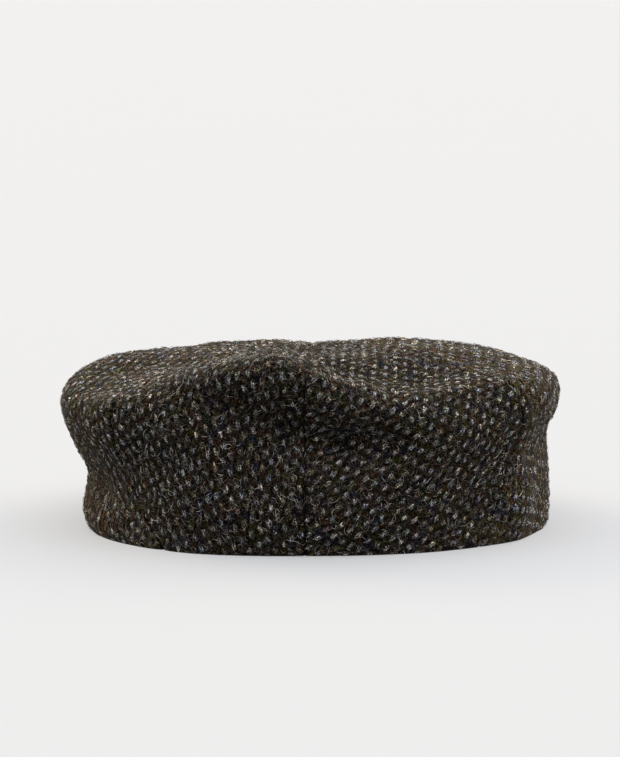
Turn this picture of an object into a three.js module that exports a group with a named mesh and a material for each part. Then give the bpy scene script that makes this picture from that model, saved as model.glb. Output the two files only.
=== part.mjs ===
// A soft tweed flat cap: an eight-panel crown over an oval rim, with a stiff cloth-covered peak in front.
// Millimetres, +Z up, the back of the cap towards -Y and the peak towards +Y. The cap stands on its rim,
// with the middle of its outer box above the origin.

import * as THREE from 'three';

// ---------------------------------------------------------------- driving dimensions
const CLOTH = 2.2; // thickness of the lined tweed wall
const SEAM_GAP = 0.3; // clear gap between two neighbouring pieces
const CROWN_HEIGHT = 76.5; // height of the crown's centre above the floor
const CROWN_CENTRE = { x: 1.5, y: -24.5 }; // crown's own axis, seen from the middle of the outer box
const TIP_RADIUS = 1.6; // where the eight panel points stop, round the crown's centre

const PANEL_STEPS_ACROSS = 8;
const BACK_STEPS_ACROSS = 16; // on the two back panels, where the dents are
// Steps up a panel, between one key height of SECTIONS and the next, from the rim to the centre.
const PANEL_STEPS_UP = { rim: 3, low: 3, waist: 4, bulge: 4, ridge: 4, top: 3 };

// The crown's form. A row for each section through the crown's axis: turn is its direction in degrees, from
// the back of the cap round by +X. Each pair is a radius and a height on the outside of the cloth: rim is
// the hem, low the fullness above it, waist the pull-in, bulge the widest place, ridge the turn on to the
// top, and top is about half-way to the centre.
const SECTION_SPACING = 30;
const SECTIONS = [
  { turn: 0, rim: [98, 0], low: [101, 20], waist: [100, 44], bulge: [101, 65], ridge: [96, 77.5], top: [50, 78] },
  { turn: 30, rim: [101.5, 0], low: [101.8, 18], waist: [104.4, 41], bulge: [101, 58], ridge: [93, 71.5], top: [52, 77.5] },
  { turn: 60, rim: [101, 0], low: [101, 20], waist: [101, 40], bulge: [108, 57], ridge: [98, 70.5], top: [52, 78] },
  { turn: 90, rim: [100.5, 0], low: [100.4, 20], waist: [100.3, 35], bulge: [105.5, 58], ridge: [93.7, 69], top: [52, 77.5] },
  { turn: 120, rim: [98, 4.8], low: [101, 15], waist: [103, 27], bulge: [111, 45], ridge: [101, 59], top: [56, 73] },
  { turn: 150, rim: [98, 12], low: [101, 19], waist: [110, 24], bulge: [120, 34], ridge: [110, 48], top: [60, 68.5] },
  { turn: 180, rim: [98, 16], low: [101, 21.5], waist: [113, 24], bulge: [126, 31], ridge: [118, 43], top: [64, 65.5] },
  { turn: 210, rim: [98, 12], low: [101, 18.5], waist: [110, 23], bulge: [121, 33], ridge: [111, 47], top: [60, 68.5] },
  { turn: 240, rim: [97, 4.8], low: [100, 13], waist: [102, 25], bulge: [112, 43], ridge: [101, 58], top: [56, 72] },
  { turn: 270, rim: [95.5, 0], low: [98, 10], waist: [98, 22], bulge: [109, 53], ridge: [93.7, 68.5], top: [52, 75] },
  { turn: 300, rim: [101, 0], low: [100, 12], waist: [98.5, 27], bulge: [110.4, 54], ridge: [98.6, 66.5], top: [52, 75] },
  { turn: 330, rim: [105, 0], low: [104.2, 15], waist: [104.6, 36], bulge: [105, 60], ridge: [95, 74], top: [51, 76.5] },
];
const KEY_HEIGHTS = ['rim', 'low', 'waist', 'bulge', 'ridge', 'top'];

// Dents and folds of the soft crown. Each follows a line of points, measured from the crown's own axis. A
// point gives x, y, z, how wide the fold is there, and how far it pushes the cloth out (or in, below 0).
const FOLDS = [
  {
    name: 'back_dent',
    line: [
      [-48, -88, 66, 10, -2], [-27, -94, 58, 11, -7], [-8, -97, 50, 12, -11], [15, -96, 46, 12, -11],
      [31, -92, 45, 10, -5], [38, -88, 44, 9, -1],
    ],
  },
  { name: 'back_roll', line: [[-42, -92, 18, 11, 1], [-14, -99, 15, 13, 3.5], [14, -99, 14, 13, 3.5], [36, -94, 16, 11, 1]] },
  {
    name: 'back_lip',
    line: [[-14, -97, 78, 9, 2], [1, -98, 69, 9, 2], [16, -98, 61, 9, 2.5], [32, -95, 58, 9, 3], [52, -88, 58, 11, 2.5]],
  },
  { name: 'back_corner', line: [[-20, -95, 77, 11, 3.5], [-38, -90, 75, 11, 3.5], [-54, -80, 76, 9, 2.5]] },
  { name: 'ridge_cut', line: [[2, -94, 78, 9, -3], [15, -93, 77, 11, -7], [35, -89, 74, 12, -7], [54, -80, 73, 11, -2]] },
  { name: 'top_dish', line: [[14, -76, 78, 11, -7], [42, -70, 77, 14, -7], [64, -58, 78, 16, -4]] },
  { name: 'left_shoulder', line: [[-64, -78, 70, 17, -5], [-90, -46, 66, 17, -5]] },
  { name: 'left_top_slack', line: [[-88, -22, 72, 12, -3], [-48, -44, 77, 12, -3]] },
  { name: 'left_notch', line: [[-98, 4, 24, 7, -3], [-91, -38, 18, 7, -6], [-75, -66, 11, 7, -3]] },
  { name: 'left_lobe', line: [[-99, -6, 12, 8, 0], [-89, -44, 13, 9, 4.5], [-80, -60, 9, 7, 2.5]] },
  { name: 'left_valley', line: [[-84, -52, 38, 6, -1.5], [-72, -70, 17, 6, -2.4], [-62, -82, 2, 6, -1.5]] },
  { name: 'right_crease', line: [[101, 4, 42, 6, -2.5], [88, -48, 35, 6, -2.5]] },
  { name: 'right_corner', line: [[84, -58, 14, 15, 5], [88, -56, 32, 13, 3]] },
  { name: 'right_roll', line: [[44, -92, 46, 9, 1], [64, -80, 47, 9, 3], [86, -56, 49, 9, 1.5]] },
  { name: 'right_front_hollow', line: [[104, 26, 56, 14, -5], [96, 66, 30, 14, -5]] },
  { name: 'left_front_hollow', line: [[-108, 22, 50, 15, -5], [-92, 70, 30, 15, -5]] },
  { name: 'front_roll', line: [[-44, 112, 44, 9, -3], [38, 114, 44, 9, -3]] },
  { name: 'top_slack', line: [[-48, 40, 72, 20, -4], [22, 58, 70, 20, -4]] },
];

// The eight seams, from the back round by +X. Each runs up from its turn at the rim, swings to its turn at
// the bulge, and comes in to the crown's centre an even turn from its neighbours.
const SEAMS = [
  { rim: -2, bulge: -2, centre: 0 },
  { rim: 43, bulge: 53, centre: 45 },
  { rim: 88, bulge: 95, centre: 90 },
  { rim: 134, bulge: 138, centre: 135 },
  { rim: 180, bulge: 180, centre: 180 },
  { rim: 226, bulge: 222, centre: 225 },
  { rim: 272, bulge: 265, centre: 270 },
  { rim: 323, bulge: 309, centre: 315 },
];
// How much of each of those three turns a seam has at every key height and at the centre.
const SEAM_SHARES = [
  { rim: 1, bulge: 0, centre: 0 },
  { rim: 0.5, bulge: 0.5, centre: 0 },
  { rim: 0, bulge: 1, centre: 0 },
  { rim: 0, bulge: 1, centre: 0 },
  { rim: 0, bulge: 0.75, centre: 0.25 },
  { rim: 0, bulge: 0.1, centre: 0.9 },
  { rim: 0, bulge: 0, centre: 1 },
];

// The panels, named from the back round by +X, each between its own seam and the next.
const PANEL_NAMES = [
  'panel_back_right',
  'panel_rear_side_right',
  'panel_front_side_right',
  'panel_front_right',
  'panel_front_left',
  'panel_front_side_left',
  'panel_rear_side_left',
  'panel_back_left',
];

// The peak: its root is sewn under the front of the rim, and its front edge is part of an oval.
const PEAK = {
  thickness: 3.6,
  edgeThickness: 1.8,
  halfTurn: 63, // how far the root reaches round the rim, each way from the front
  rootRadius: 94.6,
  ovalHalfWidth: 89,
  ovalHalfLength: 113,
  ovalCentreY: 40,
  ovalHalfTurn: 88, // the oval's angle at each end of the peak
  frontRise: 6, // how far the middle of the front edge stands clear of the floor
  crown: 3.5, // upward bow between root and front edge
  stepsAcross: 32,
  stepsOut: 7,
};

const TWEED = { color: 0x37322c, roughness: 0.95, metalness: 0 };
const PEAK_TWEED = { color: 0x35302b, roughness: 0.95, metalness: 0 };

// ---------------------------------------------------------------- the crown's surface
// Smooth curve through b and c, with a and d as their neighbours, at fraction f of the way from b to c.
function throughPoints(a, b, c, d, f) {
  const slopeB = (c - a) / 2;
  const slopeC = (d - b) / 2;
  const f2 = f * f;
  const f3 = f2 * f;
  return b * (2 * f3 - 3 * f2 + 1) + slopeB * (f3 - 2 * f2 + f) + c * (3 * f2 - 2 * f3) + slopeC * (f3 - f2);
}

// One number of the section table, at any direction round the crown.
function aroundCrown(turn, pick) {
  const place = turn / SECTION_SPACING;
  const row = Math.floor(place);
  const value = (step) => pick(SECTIONS[(((row + step) % SECTIONS.length) + SECTIONS.length) % SECTIONS.length]);
  return throughPoints(value(-1), value(0), value(1), value(2), place - row);
}

// Radius and height of one key height, at any direction.
function keyPoint(turn, key) {
  const radius = aroundCrown(turn, (section) => section[key][0]);
  const height = aroundCrown(turn, (section) => section[key][1]);
  return [radius, Math.max(0, height)];
}

// The section curve's points at one direction, with one more beyond each end to give its slope there.
function sectionCurve(turn) {
  const points = KEY_HEIGHTS.map((key) => keyPoint(turn, key));
  const beforeRim = [2 * points[0][0] - points[1][0], 2 * points[0][1] - points[1][1]];
  const [farRadius, farHeight] = keyPoint(turn + 180, 'top');
  return [beforeRim, ...points, [0, CROWN_HEIGHT], [-farRadius, farHeight]];
}

// Radius and height on the plain crown; up runs from 0 at the rim, by 1 for each key height, to the centre.
function sectionPoint(turn, up) {
  const curve = sectionCurve(turn);
  const span = Math.min(Math.floor(up), KEY_HEIGHTS.length - 1);
  const at = (axis) => throughPoints(
    curve[span][axis], curve[span + 1][axis], curve[span + 2][axis], curve[span + 3][axis], up - span,
  );
  return [at(0), at(1)];
}

// The crown before its folds: the section table's joins are smoothed over by a small weighted average.
function plainPoint(turn, up) {
  const reach = Math.min(1, up / 0.5, (KEY_HEIGHTS.length - up) / 0.5);
  let radius = 0;
  let height = 0;
  [[-7, 0.25], [0, 0.5], [7, 0.25]].forEach(([turnStep, turnShare]) => {
    [[-0.25, 0.25], [0, 0.5], [0.25, 0.25]].forEach(([upStep, upShare]) => {
      const [radiusHere, heightHere] = sectionPoint(turn + turnStep * reach, up + upStep * reach);
      radius += radiusHere * turnShare * upShare;
      height += heightHere * turnShare * upShare;
    });
  });
  const angle = THREE.MathUtils.degToRad(turn);
  return new THREE.Vector3(radius * Math.sin(angle), -radius * Math.cos(angle), height);
}

// The outward direction of a surface, from two neighbouring points each way.
function outwardOf(surface, turn, up) {
  const turnStep = 0.4;
  const upStep = 0.01;
  const across = surface(turn + turnStep, up).sub(surface(turn - turnStep, up));
  const along = surface(turn, Math.min(up + upStep, KEY_HEIGHTS.length)).sub(surface(turn, Math.max(up - upStep, 0)));
  return across.cross(along).normalize();
}

// How far the folds push a point out; the point takes each fold from its nearest place on it.
function foldReach(point) {
  const place = new THREE.Vector3();
  return FOLDS.reduce((sum, { line }) => {
    let nearest = Infinity;
    let push = 0;
    for (let index = 0; index + 1 < line.length; index += 1) {
      const [x, y, z, width, reach] = line[index];
      const [nextX, nextY, nextZ, nextWidth, nextReach] = line[index + 1];
      const part = new THREE.Line3(new THREE.Vector3(x, y, z), new THREE.Vector3(nextX, nextY, nextZ));
      const share = part.closestPointToPointParameter(point, true);
      const gap = part.at(share, place).distanceTo(point);
      if (gap < nearest) {
        const widthHere = THREE.MathUtils.lerp(width, nextWidth, share);
        push = THREE.MathUtils.lerp(reach, nextReach, share) * Math.exp(-((gap / widthHere) ** 2));
        nearest = gap;
      }
    }
    return sum + push;
  }, 0);
}

// The outside of the crown, with its folds. The hem stays level, so there a fold moves it sideways only.
function crownPoint(turn, up) {
  const point = plainPoint(turn, up);
  const push = outwardOf(plainPoint, turn, up).multiplyScalar(foldReach(point));
  push.z *= Math.min(1, up);
  return point.add(push);
}

// The inside of the cloth; at the hem it is level with the outside, so that the hem is flat underneath.
function liningPoint(turn, up) {
  const inward = outwardOf(crownPoint, turn, up).negate();
  if (up === 0) {
    inward.setZ(0).normalize();
  }
  return crownPoint(turn, up).addScaledVector(inward, CLOTH);
}

// ---------------------------------------------------------------- solids
// A closed sheet from two grids of points, outer and inner, each with the same rows and columns.
function sheetGeometry(outer, inner) {
  const rows = outer.length;
  const columns = outer[0].length;
  const positions = [...outer.flat(), ...inner.flat()].flatMap((point) => point.toArray());
  const faces = [];
  const outerAt = (row, column) => row * columns + column;
  const innerAt = (row, column) => rows * columns + row * columns + column;
  const quad = (a, b, c, d) => faces.push(a, b, c, a, c, d);
  for (let row = 0; row + 1 < rows; row += 1) {
    for (let column = 0; column + 1 < columns; column += 1) {
      quad(outerAt(row, column), outerAt(row, column + 1), outerAt(row + 1, column + 1), outerAt(row + 1, column));
      quad(innerAt(row, column), innerAt(row + 1, column), innerAt(row + 1, column + 1), innerAt(row, column + 1));
    }
    quad(outerAt(row, 0), outerAt(row + 1, 0), innerAt(row + 1, 0), innerAt(row, 0));
    const last = columns - 1;
    quad(outerAt(row, last), innerAt(row, last), innerAt(row + 1, last), outerAt(row + 1, last));
  }
  for (let column = 0; column + 1 < columns; column += 1) {
    quad(outerAt(0, column), innerAt(0, column), innerAt(0, column + 1), outerAt(0, column + 1));
    const last = rows - 1;
    quad(outerAt(last, column), outerAt(last, column + 1), innerAt(last, column + 1), innerAt(last, column));
  }
  const geometry = new THREE.BufferGeometry();
  geometry.setAttribute('position', new THREE.Float32BufferAttribute(positions, 3));
  geometry.setIndex(faces);
  geometry.computeVertexNormals();
  return geometry;
}

// ---------------------------------------------------------------- crown panels
function seamTurn(seam, up) {
  const { rim, bulge, centre } = SEAMS[seam % SEAMS.length];
  const wholeTurns = 360 * Math.floor(seam / SEAMS.length);
  const turns = SEAM_SHARES.map((share) => share.rim * rim + share.bulge * bulge + share.centre * centre);
  const span = Math.min(Math.floor(up), turns.length - 2);
  const near = (step) => turns[THREE.MathUtils.clamp(span + step, 0, turns.length - 1)];
  return wholeTurns + throughPoints(near(-1), near(0), near(1), near(2), up - span);
}

// The places up a panel, from the rim to the ring where the panel points stop.
function panelHeights() {
  const heights = [0];
  KEY_HEIGHTS.forEach((key, index) => {
    const steps = PANEL_STEPS_UP[key];
    for (let step = 1; step <= steps; step += 1) {
      heights.push(index + step / steps);
    }
  });
  const topRadius = keyPoint(0, 'top')[0];
  heights[heights.length - 1] = KEY_HEIGHTS.length - TIP_RADIUS / topRadius;
  return heights;
}

function panelGeometry(seam) {
  const steps = PANEL_NAMES[seam].startsWith('panel_back') ? BACK_STEPS_ACROSS : PANEL_STEPS_ACROSS;
  const gridOf = (surface) => panelHeights().map((up) => {
    const edge = (side) => {
      const turn = seamTurn(seam + side, up);
      const inset = THREE.MathUtils.radToDeg(SEAM_GAP / 2 / sectionPoint(turn, up)[0]);
      return side === 0 ? turn + inset : turn - inset;
    };
    return Array.from({ length: steps + 1 }, (_, column) => (
      surface(THREE.MathUtils.lerp(edge(0), edge(1), column / steps), up)
    ));
  });
  return sheetGeometry(gridOf(crownPoint), gridOf(liningPoint));
}

// ---------------------------------------------------------------- peak
// The middle of the peak's thickness: side runs from -1 to 1 across it, out from 0 at the root to 1.
function peakPoint(side, out) {
  const turn = 180 - side * PEAK.halfTurn;
  const angle = THREE.MathUtils.degToRad(turn);
  const rootHeight = keyPoint(turn, 'rim')[1] - SEAM_GAP - PEAK.thickness / 2;
  const root = new THREE.Vector3(PEAK.rootRadius * Math.sin(angle), -PEAK.rootRadius * Math.cos(angle), rootHeight);
  const ovalAngle = THREE.MathUtils.degToRad(side * PEAK.ovalHalfTurn);
  const edge = new THREE.Vector3(
    PEAK.ovalHalfWidth * Math.sin(ovalAngle),
    PEAK.ovalCentreY + PEAK.ovalHalfLength * Math.cos(ovalAngle),
    PEAK.thickness / 2 + PEAK.frontRise * Math.cos(ovalAngle) ** 2,
  );
  const point = root.lerp(edge, out);
  point.z += PEAK.crown * (Math.sin(Math.PI * out) * Math.cos(ovalAngle)) ** 2;
  return point;
}

function peakGeometry() {
  const halfThickness = (out) => {
    const thinning = Math.max(0, out * PEAK.stepsOut - (PEAK.stepsOut - 1));
    return THREE.MathUtils.lerp(PEAK.thickness, PEAK.edgeThickness, thinning) / 2;
  };
  const gridOf = (sign) => Array.from({ length: PEAK.stepsOut + 1 }, (_, row) => {
    const out = row / PEAK.stepsOut;
    return Array.from({ length: PEAK.stepsAcross + 1 }, (__, column) => {
      const side = 1 - (2 * column) / PEAK.stepsAcross;
      const point = peakPoint(side, out);
      point.z += sign * halfThickness(out);
      return point;
    });
  });
  return sheetGeometry(gridOf(-1), gridOf(1));
}

// ---------------------------------------------------------------- the cap
function addPiece(group, name, geometry, finish) {
  const mesh = new THREE.Mesh(geometry, new THREE.MeshStandardMaterial(finish));
  mesh.name = name;
  group.add(mesh);
}

const group = new THREE.Group();
group.position.set(CROWN_CENTRE.x, CROWN_CENTRE.y, 0);
PANEL_NAMES.forEach((name, seam) => addPiece(group, name, panelGeometry(seam), TWEED));
addPiece(group, 'peak', peakGeometry(), PEAK_TWEED);

export default group;
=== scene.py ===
"""A soft tweed flat cap, seen from behind: eight sewn crown panels and a covered peak."""
import math

import bmesh
import bpy
import numpy as np
from mathutils import Matrix, Vector, noise


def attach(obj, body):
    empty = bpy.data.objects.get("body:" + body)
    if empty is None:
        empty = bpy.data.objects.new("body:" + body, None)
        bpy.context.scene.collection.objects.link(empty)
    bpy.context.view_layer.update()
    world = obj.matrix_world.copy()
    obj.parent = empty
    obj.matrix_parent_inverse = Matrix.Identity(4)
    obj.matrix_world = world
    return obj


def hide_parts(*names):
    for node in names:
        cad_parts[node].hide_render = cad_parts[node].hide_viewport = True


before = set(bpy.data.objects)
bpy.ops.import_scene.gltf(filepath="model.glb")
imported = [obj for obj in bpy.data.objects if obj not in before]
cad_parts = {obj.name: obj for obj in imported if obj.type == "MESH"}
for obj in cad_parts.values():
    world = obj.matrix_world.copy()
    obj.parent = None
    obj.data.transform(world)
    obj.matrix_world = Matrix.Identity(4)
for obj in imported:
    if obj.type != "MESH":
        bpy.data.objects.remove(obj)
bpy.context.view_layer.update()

# ------------------------------------------------------------------ sizes
MM = 0.001
SEED = 7

CLOTH = 2.2 * MM                # thickness of the lined wall
CROWN_HEIGHT = 76.5 * MM        # height of the crown's centre
CROWN_AXIS = Vector((1.5 * MM, -24.5 * MM, 0))
TIP_RADIUS = 0.05 * MM          # how near the panel points come to the centre
TIP_FROM = 5.5                  # from this height on, in key heights, the cloth turns to face straight up
TIP_TURN = 0.35                 # and this much higher it does
WELD = 0.02 * MM                # corners nearer than this become one
FLOOR_CLEAR = 0.1 * MM          # no knot or loose fibre comes nearer to the floor
PANEL_CROWDING = 0.75           # how much a panel's steps crowd towards its seams

# The crown's form, as radius and height pairs in millimetres at directions 30 degrees apart, from the
# back of the cap round by +X. rim is the hem, low the fullness above it, waist the pull-in, bulge the
# widest place, ridge the turn on to the top, and top is about half-way to the centre.
SECTION_SPACING = 30
SMOOTHING_TURN = 7              # how far to each side, in degrees, the form is averaged
SMOOTHING_UP = 0.25             # and how far up and down, in key heights
SECTIONS = {
    #          0          30           60           90           120          150
    #          180        210          240          270          300          330
    "rim": [
        (98, 0), (101.5, 0), (101, 0), (100.5, 0), (98, 4.8), (98, 12),
        (98, 16), (98, 12), (97, 4.8), (95.5, 0), (101, 0), (105, 0)],
    "low": [
        (101, 20), (101.8, 18), (101, 20), (100.4, 20), (101, 15), (101, 19),
        (101, 21.5), (101, 18.5), (100, 13), (98, 10), (100, 12), (104.2, 15)],
    "waist": [
        (100, 44), (104.4, 41), (101, 40), (100.3, 35), (103, 27), (110, 24),
        (113, 24), (110, 23), (102, 25), (98, 22), (98.5, 27), (104.6, 36)],
    "bulge": [
        (101, 65), (101, 58), (108, 57), (105.5, 58), (111, 45), (120, 34),
        (126, 31), (121, 33), (112, 43), (107.8, 53), (111, 54), (105, 60)],
    "ridge": [
        (96, 77.5), (93, 71.5), (98, 70.5), (93.7, 69), (101, 59), (110, 48),
        (118, 43), (111, 47), (101, 58), (93.7, 68.5), (99, 66.5), (95, 74)],
    "top": [
        (50, 78), (52, 77.5), (52, 78.4), (52, 78.5), (56, 73.5), (60, 68.5),
        (64, 65.5), (60, 68.5), (56, 72.7), (52, 76.2), (52, 75.8), (51, 76.8)],
}
KEYS = list(SECTIONS)

# Dents and folds: each follows a line of points, measured from the crown's axis in millimetres. A point
# gives x, y, z, how wide the fold is there, and how far it pushes the cloth out or in.
FOLDS = {
    "back_dent": [
        (-48, -88, 66, 9, -2), (-27, -94, 58, 10, -8), (-8, -97, 50, 11, -13),
        (15, -96, 46, 10, -13), (31, -92, 45, 8, -5), (38, -88, 44, 7, -1)],
    "back_roll": [
        (-42, -92, 18, 11, 1), (-14, -99, 15, 13, 3.5), (14, -99, 14, 13, 3.5), (36, -94, 16, 11, 1)],
    "back_lip": [
        (-14, -97, 78, 8, 2), (1, -98, 69, 7, 2.5), (16, -98, 61, 7, 3.5),
        (32, -95, 58, 8, 4), (52, -88, 58, 11, 2.5)],
    "back_corner": [(-20, -95, 77, 11, 3.5), (-38, -90, 75, 11, 3.5), (-54, -80, 76, 9, 2.5)],
    "ridge_cut": [
        (2, -94, 78, 7, -3), (15, -93, 77, 9, -10), (35, -89, 74, 10, -9), (54, -80, 73, 10, -2)],
    "top_dish": [(14, -76, 78, 11, -7), (42, -70, 77, 14, -7), (64, -58, 78, 16, -4)],
    "left_shoulder": [(-64, -78, 70, 17, -5), (-90, -46, 66, 17, -5)],
    "left_top_slack": [(-88, -22, 72, 12, -3), (-48, -44, 77, 12, -3)],
    "left_notch": [(-98, 4, 24, 7, -3), (-91, -38, 18, 7, -6), (-75, -66, 11, 7, -3)],
    "left_lobe": [(-99, -6, 12, 8, 0), (-89, -44, 13, 9, 4.5), (-80, -60, 9, 7, 2.5)],
    "left_valley": [(-84, -52, 38, 6, -1.5), (-72, -70, 17, 6, -2.4), (-62, -82, 2, 6, -1.5)],
    "right_crease": [(101, 4, 42, 6, -2.5), (88, -48, 35, 6, -2.5)],
    "right_corner": [(84, -58, 14, 15, 5), (88, -56, 32, 13, 3)],
    "right_roll": [(44, -92, 46, 9, 1), (64, -80, 47, 9, 3), (86, -56, 49, 9, 1.5)],
    "right_front_hollow": [(104, 26, 56, 14, -5), (96, 66, 30, 14, -5)],
    "left_front_hollow": [(-108, 22, 50, 15, -5), (-92, 70, 30, 15, -5)],
    "front_roll": [(-44, 112, 44, 9, -3), (38, 114, 44, 9, -3)],
    "top_slack": [(-48, 40, 72, 20, -4), (22, 58, 70, 20, -4)],
}

# How slack the cloth is: the size of each unevenness, its height, and where its noise starts.
SLACK = [(34 * MM, 1.4 * MM, 3.1), (13 * MM, 0.5 * MM, 9.7)]

# The seams: turn in degrees at the rim, at the bulge and at the crown's centre, and how deep the seam
# draws the cloth in below the waist and at the bulge, as shares of SEAM_DEPTH. On top it is SEAM_ON_TOP.
SEAMS = [
    (-2, -2, 0, 0.95, 0.9), (43, 53, 45, 0.9, 0.6), (88, 95, 90, 0.8, 0.6), (134, 138, 135, 0.8, 0.6),
    (180, 180, 180, 0.8, 0.6), (226, 222, 225, 0.8, 0.6), (272, 265, 270, 0.8, 0.6),
    (323, 309, 315, 1.5, 0.6),
]
SEAM_ON_TOP = 0.4
SEAM_DEPTH = 1.5 * MM
SEAM_HALF_WIDTH = 0.7 * MM
SEAM_CLEAR = 0.7 * MM           # no knot comes nearer to a seam
SEAM_PULL_AT = (1.4, 2.4, 3.5, 4.5)     # the key heights where it changes from one depth to the next
SEAM_SOFT = 0.8 * MM            # a seam that doesn't draw in gets its painted shade as if it were this far off
PRESSED = 0.2 * MM              # the seam's pressed allowance stands this high,
PRESSED_AT = 4 * MM             # this far from the seam,
PRESSED_WIDTH = 2.5 * MM        # and fades over this
HEM_TUCK = 0.9 * MM             # how far the hem's edge turns in
HEM_ROUND = 1.3 * MM            # and up to what height
# How much of each of its three turns a seam has at every key height and at the centre.
SEAM_SHARES = np.array([
    (1, 0, 0), (0.5, 0.5, 0), (0, 1, 0), (0, 1, 0), (0, 0.75, 0.25), (0, 0.1, 0.9), (0, 0, 1),
])

# The panels from the back round by +X: steps across and up, the turn of the cloth's threads from the
# seam they are measured from, in degrees, how many loose fibres stand on the panel, and how bright its
# cloth and its pale knots are painted: painted light and painted shade, standing in for how much of the
# light falls on that side of the cap.
PANELS = {
    "panel_back_right": (96, 160, -15, 4800, 0.97, 0.97),
    "panel_rear_side_right": (72, 128, 22, 2200, 1.5, 0.92),
    "panel_front_side_right": (60, 110, -20, 1500, 1.0, 1.0),
    "panel_front_right": (60, 110, 25, 1500, 1.0, 1.0),
    "panel_front_left": (60, 110, -25, 1500, 1.0, 1.0),
    "panel_front_side_left": (60, 110, 20, 1500, 1.0, 1.0),
    "panel_rear_side_left": (72, 128, 24, 2200, 1.4, 0.9),
    "panel_back_left": (96, 160, 17, 4800, 0.88, 0.88),
}

# The tweed: how far apart its pale knots of yarn are, across the warp threads and along them, how far a
# knot strays from its place, how far its fibres lean from the warp, in degrees, and how far the cloth
# swells under it. A knot is two strands side by side: STRAND_SIZE is their half-width, half-length and
# half-height, and STRAND_OFFSET their distance from its middle.
WARP_PITCH = 4.42 * MM
WEFT_PITCH = 5.24 * MM
KNOT_STRAY = 0.17 * MM
KNOT_LEAN = 17
SWELL = 0.34 * MM
STRAND_SIZE = np.array([0.42, 1.52, 0.42]) * MM
STRAND_OFFSET = 0.37 * MM
STRAND_SUNK = 0.1 * MM          # how deep a strand's middle lies in the cloth
HAZE_SIZE = (1.15 * MM, 1.9 * MM)       # half-width and half-length of the haze of fibres round a knot
WEAVE_DRIFT = (14 * MM, 1.1 * MM)       # over what distance the threads wander, and how far
WEAVE_DRIFT_STARTS = (21.3, 40.9)       # where the two threads' noises start

# How much the knots differ: each value is a lowest and highest share, or a spread.
KNOT_BRIGHTNESS = (0.7, 1.26)
STRAND_BRIGHTNESS = (0.72, 1.24)
KNOT_LEAN_SPREAD = 8
STRAND_LEAN_SPREAD = 7
STRAND_ASIDE = (0.8, 1.25)
STRAND_AHEAD_SPREAD = 0.24 * MM
STRAND_SIZES = ((0.75, 0.7, 0.6), (1.25, 1.3, 1.4))
STRAND_ROUGHNESS = 0.16

# Loose wool: straight parts in a fibre, the share of long ones, and lengths, radii and heights in
# millimetres.
FIBRE_PARTS = 3
LONG_SHARE = 0.09
LONG_FIBRES = (3, 5.5)
SHORT_FIBRES = (1.2, 3.4)
FIBRE_RADIUS = (0.05, 0.095)
FIBRE_BASE = 0.05               # how high a fibre's near end lies over the cloth
FIBRE_LIFT = (0.1, 0.5)         # how much higher its middle bows
FIBRE_STAND = 0.7               # how high the far end of the liveliest one stands
FIBRE_CURL = 1.5                # spread of the turn along a fibre, in radians
LONG_CURL = 1.8                 # how much more the long ones curl
FIBRE_END = 0.35                # a fibre's thickness at its ends

# Cloth coordinates are eased on grids of these coarsenesses, with this many rounds on each and this much
# of the error taken up by each end of a step.
SETTLING_STRIDES = (16, 8, 4, 2, 1)
SETTLING_ROUNDS = 160
SETTLING_SHARE = 0.15

# The peak: its root follows the rim through half_turn degrees to each side of the front, just under it,
# and its edge is part of an oval. front_rise lifts the front, and bow arches the middle. The mesh has
# steps across and outwards, crowded towards the root and the edge. Its tweed swells by a share of SWELL
# that fades out over smooth_edge towards the edge.
PEAK = {
    "thickness": 3.6 * MM,
    "half_turn": 63,
    "root_radius": 93.8 * MM,
    "root_gap": 0.12 * MM,
    "oval_half_width": 89 * MM,
    "oval_half_length": 113 * MM,
    "oval_centre_y": 40 * MM,
    "oval_half_turn": 88,
    "front_rise": 6 * MM,
    "bow": 3.5 * MM,
    "edge_radius": 2.2 * MM,
    "steps": (200, 64),
    "crowding": 0.6,
    "grain": 12,
    "swell": 0.7,
    "smooth_edge": 3 * MM,
    "brightness": 0.95,
    "fibres": 500,
}

# Studio light: brightness of the surroundings at the horizon and overhead, and three very wide suns with
# azimuth, height and width in degrees, strength and colour. Azimuth runs from the back round by +X.
SKY = [(0.0, 0.28), (0.3, 0.25)]
SUNS = {
    "overhead": (155, 78, 120, 3.22, (1, 0.97, 0.935)),
    "right_side": (126, 20, 50, 1.05, (1, 0.81, 0.50)),
    "left_side": (226, 24, 36, 1.2, (1, 0.74, 0.32)),
}

CAMERA_RISE = 6.6               # degrees above the floor
CAMERA_DISTANCE = 1.8
CAMERA_LENS = 199.5             # focal length, in millimetres
AIM = Vector((0.2 * MM, CROWN_AXIS.y, 61.5 * MM))


# ------------------------------------------------------------------ the crown's surface
def through_points(a, b, c, d, f):
    """Smooth curve through b and c, at fraction f from b to c, with a and d as their neighbours."""
    slope_b = (c - a) / 2
    slope_c = (d - b) / 2
    f2 = f * f
    f3 = f2 * f
    return (b * (2 * f3 - 3 * f2 + 1) + slope_b * (f3 - 2 * f2 + f)
            + c * (3 * f2 - 2 * f3) + slope_c * (f3 - f2))


def key_point(turn, key):
    """Radius and height of one key height at the given turns, in metres."""
    rows = np.array(SECTIONS[key], float) * MM
    place = turn / SECTION_SPACING
    row = np.floor(place).astype(int)
    part = (place - row)[..., None]
    near = [rows[(row + step) % len(rows)] for step in (-1, 0, 1, 2)]
    value = through_points(*near, part)
    value[..., 1] = np.maximum(0, value[..., 1])
    return value


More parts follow.
